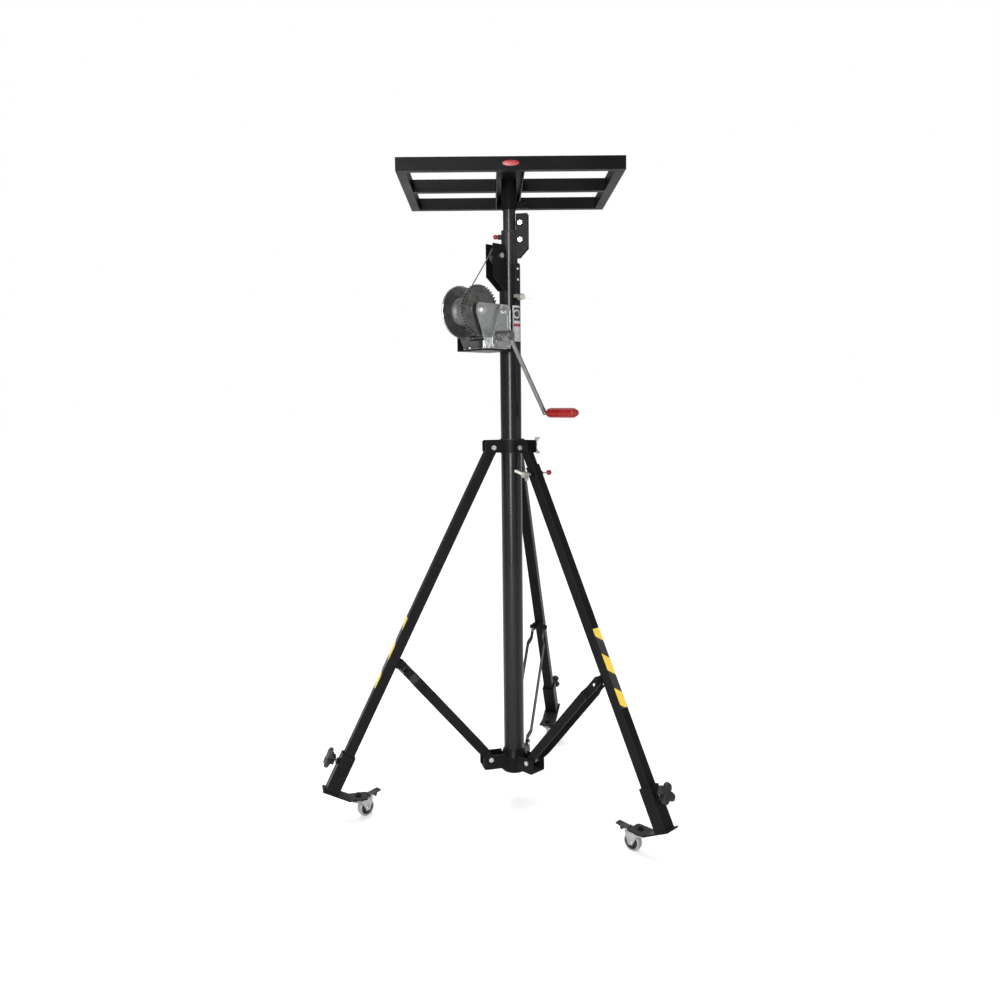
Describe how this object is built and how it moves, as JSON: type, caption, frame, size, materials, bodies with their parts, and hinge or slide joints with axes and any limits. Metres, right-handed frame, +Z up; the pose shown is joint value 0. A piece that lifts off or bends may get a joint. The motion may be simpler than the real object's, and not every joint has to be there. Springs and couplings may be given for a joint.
{
  "type": "crank lighting stand",
  "caption": "Wind-up lighting stand with a telescopic mast, hand winch, folding braced tripod on braked castors and a flat equipment tray.",
  "frame": {"origin": "on the mast's axis at floor level, legs spread and mast fully down", "axes": "+Z up along the mast; +X along the tray's long side, towards the levelling leg's side; +Y towards the rear leg's side, square to the tray's long side"},
  "size_m": [0.972, 0.9812, 1.811],
  "materials": {
    "outer_mast_tube": "satin black powder coat",
    "base_collar": "satin black powder coat",
    "base_pins": "bright zinc plated bolts and nuts",
    "mast_mouth_bush": "black nylon",
    "lower_pulley_bracket": "satin black powder coat",
    "lower_pulley_bolt": "bright zinc plated bolts and nuts",
    "winch_bracket": "satin black powder coat",
    "winch_frame": "bright zinc plate",
    "winch_cover": "bright zinc plate",
    "winch_bolts": "bright zinc plated bolts and nuts",
    "lifting_cable": "galvanised wire rope",
    "winch_drum": "bright zinc plate",
    "drum_gear": "bright zinc plate",
    "cable_wrap": "galvanised wire rope",
    "pinion": "zinc plated steel bar",
    "crank_arm": "zinc plated steel bar",
    "crank_grip": "moulded red plastic",
    "lower_pulley": "nylon pulley",
    "mast_lock_screw": "cast zinc wing",
    "middle_mast_tube": "satin black powder coat",
    "middle_mast_bush": "black nylon",
    "middle_mast_head": "black nylon",
    "upper_pulley_bracket": "satin black powder coat",
    "upper_pulley_bolts": "bright zinc plated bolts and nuts",
    "upper_cable": "galvanised wire rope",
    "head_plunger": "moulded red plastic",
    "upper_pulley": "nylon pulley",
    "inner_mast_tube": "satin black powder coat",
    "inner_mast_bush": "black nylon",
    "tray_frame": "satin black powder coat",
    "tray_socket": "satin black powder coat",
    "leg_collar": "satin black powder coat",
    "collar_liner": "black nylon",
    "leg_pivot_bolts": "bright zinc plated bolts and nuts",
    "collar_wing_screw": "cast zinc wing",
    "rear_leg": "satin black powder coat",
    "left_leg": "satin black powder coat",
    "levelling_leg_inner": "satin black powder coat",
    "levelling_leg_outer": "satin black powder coat",
    "levelling_screw": "cast zinc wing",
    "levelling_plunger": "moulded red plastic",
    "rear_brace": "satin black powder coat",
    "rear_foot_socket": "satin black powder coat",
    "rear_star_knob": "black glass-filled nylon",
    "rear_castor_fork": "bright zinc plated pressing",
    "rear_castor_wheel": "grey non-marking tread on a black core",
    "rear_brake_pedal": "black glass-filled nylon",
    "left_brace": "satin black powder coat",
    "left_foot_socket": "satin black powder coat",
    "left_star_knob": "black glass-filled nylon",
    "left_castor_fork": "bright zinc plated pressing",
    "left_castor_wheel": "grey non-marking tread on a black core",
    "left_brake_pedal": "black glass-filled nylon",
    "levelling_brace": "satin black powder coat",
    "levelling_foot_socket": "satin black powder coat",
    "levelling_star_knob": "black glass-filled nylon",
    "levelling_castor_fork": "bright zinc plated pressing",
    "levelling_castor_wheel": "grey non-marking tread on a black core",
    "levelling_brake_pedal": "black glass-filled nylon"
  },
  "bodies": {
    "mast": {"outer_mast_tube": "outer_mast_tube", "base_collar": "base_collar", "base_pins": "base_pins", "mast_mouth_bush": "mast_mouth_bush", "lower_pulley_bracket": "lower_pulley_bracket", "lower_pulley_bolt": "lower_pulley_bolt", "winch_bracket": "winch_bracket", "winch_frame": "winch_frame", "winch_cover": "winch_cover", "winch_bolts": "winch_bolts", "lifting_cable": "lifting_cable"},
    "drum": {"winch_drum": "winch_drum", "drum_gear": "drum_gear", "cable_wrap": "cable_wrap"},
    "pinion": {"pinion": "pinion", "crank_arm": "crank_arm"},
    "crank_grip": {"crank_grip": "crank_grip"},
    "lower_pulley": {"lower_pulley": "lower_pulley"},
    "mast_lock_screw": {"mast_lock_screw": "mast_lock_screw"},
    "middle_mast": {"middle_mast_tube": "middle_mast_tube", "middle_mast_bush": "middle_mast_bush", "middle_mast_head": "middle_mast_head", "upper_pulley_bracket": "upper_pulley_bracket", "upper_pulley_bolts": "upper_pulley_bolts", "upper_cable": "upper_cable"},
    "head_plunger": {"head_plunger": "head_plunger"},
    "upper_pulley": {"upper_pulley": "upper_pulley"},
    "inner_mast": {"inner_mast_tube": "inner_mast_tube", "inner_mast_bush": "inner_mast_bush", "tray_frame": "tray_frame", "tray_socket": "tray_socket"},
    "leg_collar": {"leg_collar": "leg_collar", "collar_liner": "collar_liner", "leg_pivot_bolts": "leg_pivot_bolts"},
    "collar_wing_screw": {"collar_wing_screw": "collar_wing_screw"},
    "rear_leg": {"rear_leg": "rear_leg"},
    "left_leg": {"left_leg": "left_leg"},
    "levelling_leg": {"levelling_leg_inner": "levelling_leg_inner"},
    "levelling_leg_outer": {"levelling_leg_outer": "levelling_leg_outer"},
    "levelling_screw": {"levelling_screw": "levelling_screw"},
    "levelling_plunger": {"levelling_plunger": "levelling_plunger"},
    "rear_brace": {"rear_brace": "rear_brace"},
    "rear_foot": {"rear_foot_socket": "rear_foot_socket"},
    "rear_star_knob": {"rear_star_knob": "rear_star_knob"},
    "rear_castor": {"rear_castor_fork": "rear_castor_fork"},
    "rear_wheel": {"rear_castor_wheel": "rear_castor_wheel"},
    "rear_brake_pedal": {"rear_brake_pedal": "rear_brake_pedal"},
    "left_brace": {"left_brace": "left_brace"},
    "left_foot": {"left_foot_socket": "left_foot_socket"},
    "left_star_knob": {"left_star_knob": "left_star_knob"},
    "left_castor": {"left_castor_fork": "left_castor_fork"},
    "left_wheel": {"left_castor_wheel": "left_castor_wheel"},
    "left_brake_pedal": {"left_brake_pedal": "left_brake_pedal"},
    "levelling_brace": {"levelling_brace": "levelling_brace"},
    "levelling_foot": {"levelling_foot_socket": "levelling_foot_socket"},
    "levelling_star_knob": {"levelling_star_knob": "levelling_star_knob"},
    "levelling_castor": {"levelling_castor_fork": "levelling_castor_fork"},
    "levelling_wheel": {"levelling_castor_wheel": "levelling_castor_wheel"},
    "levelling_brake_pedal": {"levelling_brake_pedal": "levelling_brake_pedal"}
  },
  "joints": [
    {"name": "mast_raise", "type": "slide", "parent": "mast", "child": "middle_mast", "axis": [0, 0, 1], "range_m": [0, 1.1]},
    {"name": "inner_mast_raise", "type": "slide", "parent": "middle_mast", "child": "inner_mast", "axis": [0, 0, 1], "range_m": [0, 1.1]},
    {"name": "winch_drum_turn", "type": "hinge", "parent": "mast", "child": "drum", "pos_m": [-0.10465, -0.10465, 1.44], "axis": [0.7071, -0.7071, 0], "range_deg": [0, 1505.19]},
    {"name": "crank_turn", "type": "hinge", "parent": "mast", "child": "pinion", "pos_m": [-0.07203, -0.07203, 1.3716], "axis": [0.7071, -0.7071, 0], "range_deg": [-6020.74, 0]},
    {"name": "crank_grip_spin", "type": "hinge", "parent": "pinion", "child": "crank_grip", "pos_m": [0.02838, 0.02838, 1.1606], "axis": [0.7071, -0.7071, 0], "continuous": true},
    {"name": "lower_pulley_turn", "type": "hinge", "parent": "mast", "child": "lower_pulley", "pos_m": [-0.035, -0.035, 1.597], "axis": [0.7071, -0.7071, 0], "range_deg": [0, 2627.06]},
    {"name": "upper_pulley_turn", "type": "hinge", "parent": "middle_mast", "child": "upper_pulley", "pos_m": [0.03201, -0.00564, 1.69], "axis": [0.1736, 0.9848, 0], "range_deg": [0, 4849.1]},
    {"name": "mast_lock_turn", "type": "hinge", "parent": "mast", "child": "mast_lock_screw", "pos_m": [0.02796, -0.04145, 1.484], "axis": [0.5592, -0.829, 0], "continuous": true},
    {"name": "head_plunger_pull", "type": "slide", "parent": "middle_mast", "child": "head_plunger", "axis": [-0.9781, -0.2079, 0], "range_m": [0, 0.006], "stiffness_N_per_m": 400},
    {"name": "collar_slide", "type": "slide", "parent": "mast", "child": "leg_collar", "axis": [0, 0, 1], "range_m": [0, 0.1418]},
    {"name": "collar_lock_turn", "type": "hinge", "parent": "leg_collar", "child": "collar_wing_screw", "pos_m": [0.05822, 0.01452, 1.066], "axis": [0.9703, 0.2419, 0], "continuous": true},
    {"name": "rear_leg_fold", "type": "hinge", "parent": "leg_collar", "child": "rear_leg", "pos_m": [0.01599, 0.05575, 1.063], "axis": [-0.9613, 0.2756, 0], "range_deg": [0, 16.5]},
    {"name": "left_leg_fold", "type": "hinge", "parent": "leg_collar", "child": "left_leg", "pos_m": [-0.05628, -0.01403, 1.063], "axis": [0.2419, -0.9703, 0], "range_deg": [0, 16.5]},
    {"name": "levelling_leg_fold", "type": "hinge", "parent": "leg_collar", "child": "levelling_leg", "pos_m": [0.04029, -0.04172, 1.063], "axis": [0.7193, 0.6947, 0], "range_deg": [0, 16.5]},
    {"name": "rear_brace_fold", "type": "hinge", "parent": "mast", "child": "rear_brace", "pos_m": [0.0215, 0.07498, 0.139], "axis": [0.9613, -0.2756, 0], "range_deg": [0, 30.01]},
    {"name": "left_brace_fold", "type": "hinge", "parent": "mast", "child": "left_brace", "pos_m": [-0.07568, -0.01887, 0.139], "axis": [-0.2419, 0.9703, 0], "range_deg": [0, 30.01]},
    {"name": "levelling_brace_fold", "type": "hinge", "parent": "mast", "child": "levelling_brace", "pos_m": [0.05418, -0.05611, 0.139], "axis": [-0.7193, -0.6947, 0], "range_deg": [0, 30.01]},
    {"name": "levelling_slide", "type": "slide", "parent": "levelling_leg", "child": "levelling_leg_outer", "axis": [0.31, -0.321, -0.8949], "range_m": [0, 0.12]},
    {"name": "levelling_screw_turn", "type": "hinge", "parent": "levelling_leg_outer", "child": "levelling_screw", "pos_m": [0.04413, -0.08888, 0.98962], "axis": [0.7193, 0.6947, 0], "continuous": true},
    {"name": "levelling_plunger_pull", "type": "slide", "parent": "levelling_leg_outer", "child": "levelling_plunger", "axis": [0.7193, 0.6947, 0], "range_m": [0, 0.006], "stiffness_N_per_m": 400},
    {"name": "rear_foot_slide", "type": "slide", "parent": "rear_leg", "child": "rear_foot", "axis": [0.123, 0.4289, -0.8949], "range_m": [0, 0.08]},
    {"name": "rear_knob_turn", "type": "hinge", "parent": "rear_foot", "child": "rear_star_knob", "pos_m": [0.15131, 0.52768, 0.19038], "axis": [0.2467, 0.8603, 0.4462], "continuous": true},
    {"name": "rear_castor_swivel", "type": "hinge", "parent": "rear_foot", "child": "rear_castor", "pos_m": [0.129, 0.44987, 0.055], "axis": [0, 0, 1], "continuous": true},
    {"name": "rear_wheel_roll", "type": "hinge", "parent": "rear_castor", "child": "rear_wheel", "pos_m": [0.14597, 0.4329, 0.0245], "axis": [0.7071, 0.7071, 0], "continuous": true},
    {"name": "rear_pedal_press", "type": "hinge", "parent": "rear_castor", "child": "rear_brake_pedal", "pos_m": [0.15587, 0.423, 0.0572], "axis": [0.7071, 0.7071, 0], "range_deg": [0, 12]},
    {"name": "left_foot_slide", "type": "slide", "parent": "left_leg", "child": "left_foot", "axis": [-0.4329, -0.1079, -0.8949], "range_m": [0, 0.08]},
    {"name": "left_knob_turn", "type": "hinge", "parent": "left_foot", "child": "left_star_knob", "pos_m": [-0.53264, -0.1328, 0.19038], "axis": [-0.8684, -0.2165, 0.4462], "continuous": true},
    {"name": "left_castor_swivel", "type": "hinge", "parent": "left_foot", "child": "left_castor", "pos_m": [-0.4541, -0.11322, 0.055], "axis": [0, 0, 1], "continuous": true},
    {"name": "left_wheel_roll", "type": "hinge", "parent": "left_castor", "child": "left_wheel", "pos_m": [-0.43713, -0.09625, 0.0245], "axis": [-0.7071, 0.7071, 0], "continuous": true},
    {"name": "left_pedal_press", "type": "hinge", "parent": "left_castor", "child": "left_brake_pedal", "pos_m": [-0.42723, -0.08635, 0.0572], "axis": [-0.7071, 0.7071, 0], "range_deg": [0, 12]},
    {"name": "levelling_foot_slide", "type": "slide", "parent": "levelling_leg_outer", "child": "levelling_foot", "axis": [0.31, -0.321, -0.8949], "range_m": [0, 0.08]},
    {"name": "levelling_knob_turn", "type": "hinge", "parent": "levelling_foot", "child": "levelling_star_knob", "pos_m": [0.38133, -0.39488, 0.19038], "axis": [0.6217, -0.6438, 0.4462], "continuous": true},
    {"name": "levelling_castor_swivel", "type": "hinge", "parent": "levelling_foot", "child": "levelling_castor", "pos_m": [0.3251, -0.33665, 0.055], "axis": [0, 0, 1], "continuous": true},
    {"name": "levelling_wheel_roll", "type": "hinge", "parent": "levelling_castor", "child": "levelling_wheel", "pos_m": [0.30784, -0.31998, 0.0245], "axis": [-0.6947, -0.7193, 0], "continuous": true},
    {"name": "levelling_pedal_press", "type": "hinge", "parent": "levelling_castor", "child": "levelling_brake_pedal", "pos_m": [0.29777, -0.31025, 0.0572], "axis": [-0.6947, -0.7193, 0], "range_deg": [0, 12]}
  ],
  "couplings": [
    {"joint": "inner_mast_raise", "follows": "mast_raise", "ratio": 1},
    {"joint": "winch_drum_turn", "follows": "mast_raise", "rad_per_m": 23.866},
    {"joint": "crank_turn", "follows": "mast_raise", "rad_per_m": -95.465},
    {"joint": "lower_pulley_turn", "follows": "mast_raise", "rad_per_m": 41.667},
    {"joint": "upper_pulley_turn", "follows": "mast_raise", "rad_per_m": 76.923},
    {"joint": "rear_leg_fold", "follows": "collar_slide", "rad_per_m": 2.0309},
    {"joint": "left_leg_fold", "follows": "collar_slide", "rad_per_m": 2.0309},
    {"joint": "levelling_leg_fold", "follows": "collar_slide", "rad_per_m": 2.0309},
    {"joint": "rear_brace_fold", "follows": "collar_slide", "rad_per_m": 3.6927},
    {"joint": "left_brace_fold", "follows": "collar_slide", "rad_per_m": 3.6927},
    {"joint": "levelling_brace_fold", "follows": "collar_slide", "rad_per_m": 3.6927}
  ]
}
